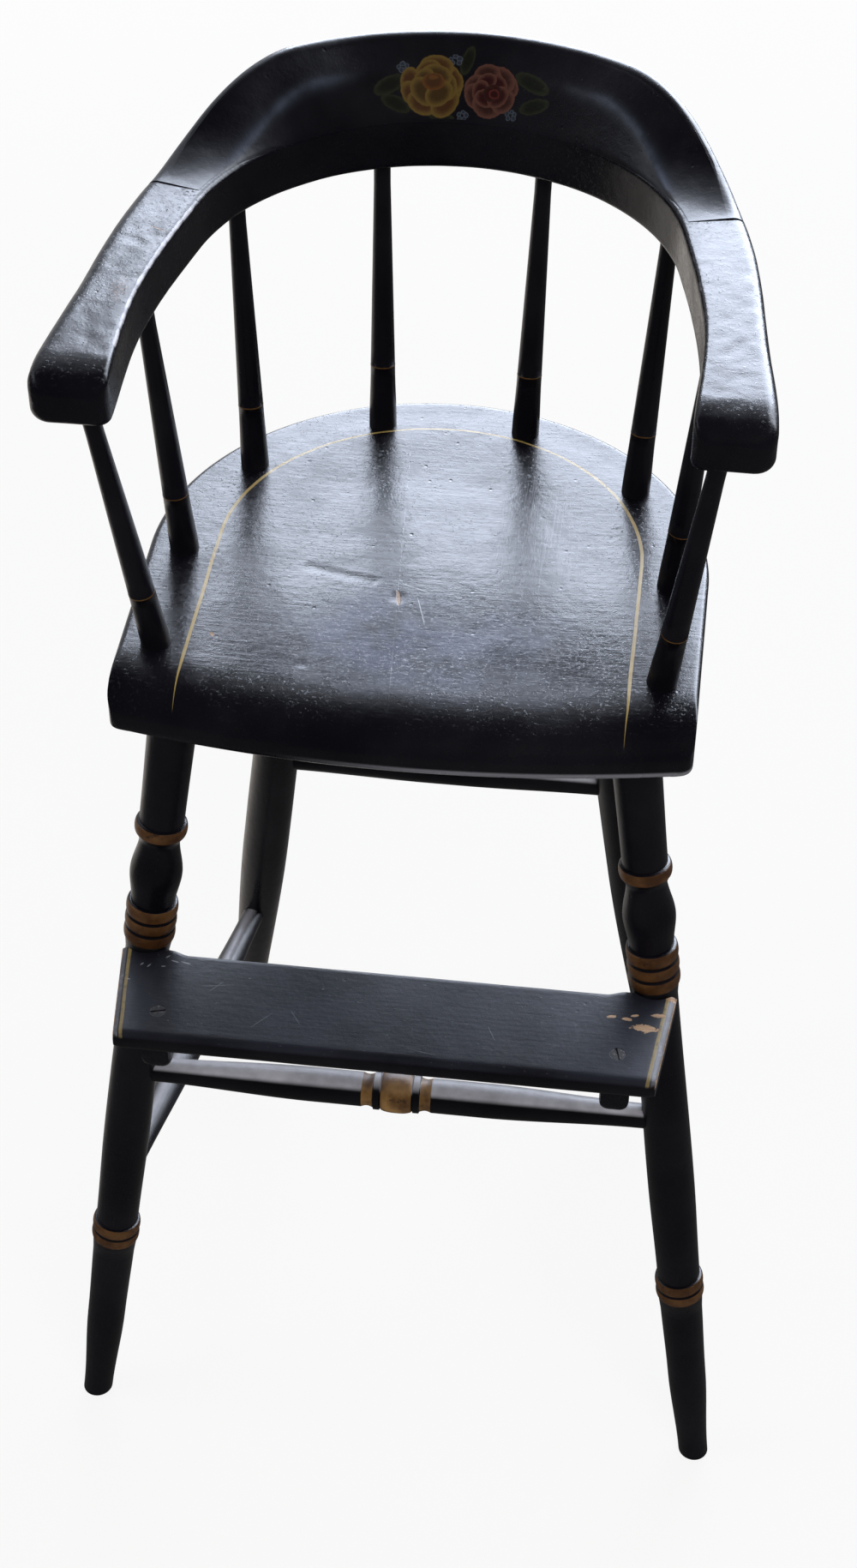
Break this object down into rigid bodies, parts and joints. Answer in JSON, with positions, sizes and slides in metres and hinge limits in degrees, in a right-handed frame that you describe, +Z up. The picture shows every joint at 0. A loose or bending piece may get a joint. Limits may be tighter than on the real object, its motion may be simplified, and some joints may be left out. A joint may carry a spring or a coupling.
{
  "type": "high chair",
  "caption": "Child's wooden high chair with a saddled seat, a round arm bow on spindles, a raised crest, splayed turned legs, stretchers and a footrest.",
  "frame": {"origin": "on the floor, under the middle of the chair's bounding box", "axes": "+Z up, -Y toward the front of the chair, +X toward the right-hand side as seen from the front"},
  "size_m": [0.451, 0.4259, 0.8708],
  "materials": {
    "black_paint": "old black gloss paint on wood",
    "bare_wood": "bare",
    "screw_steel": "dull, darkened"
  },
  "bodies": {
    "root": {"seat": "black_paint", "arm_left": "black_paint", "arm_right": "black_paint", "crest": "black_paint", "crest_dowel_left_inner": "bare_wood", "crest_dowel_left_outer": "bare_wood", "crest_dowel_right_inner": "bare_wood", "crest_dowel_right_outer": "bare_wood", "spindle_left_1": "black_paint", "spindle_left_2": "black_paint", "spindle_left_3": "black_paint", "spindle_left_4": "black_paint", "spindle_right_1": "black_paint", "spindle_right_2": "black_paint", "spindle_right_3": "black_paint", "spindle_right_4": "black_paint", "leg_front_left": "black_paint", "leg_front_right": "black_paint", "leg_rear_left": "black_paint", "leg_rear_right": "black_paint", "stretcher_front": "black_paint", "stretcher_left": "black_paint", "stretcher_right": "black_paint", "stretcher_rear": "black_paint", "footrest_board": "black_paint", "footrest_block_left": "black_paint", "footrest_block_right": "black_paint", "footrest_screw_left": "screw_steel", "footrest_screw_right": "screw_steel", "block_screw_left": "screw_steel", "block_screw_right": "screw_steel"}
  },
  "joints": []
}
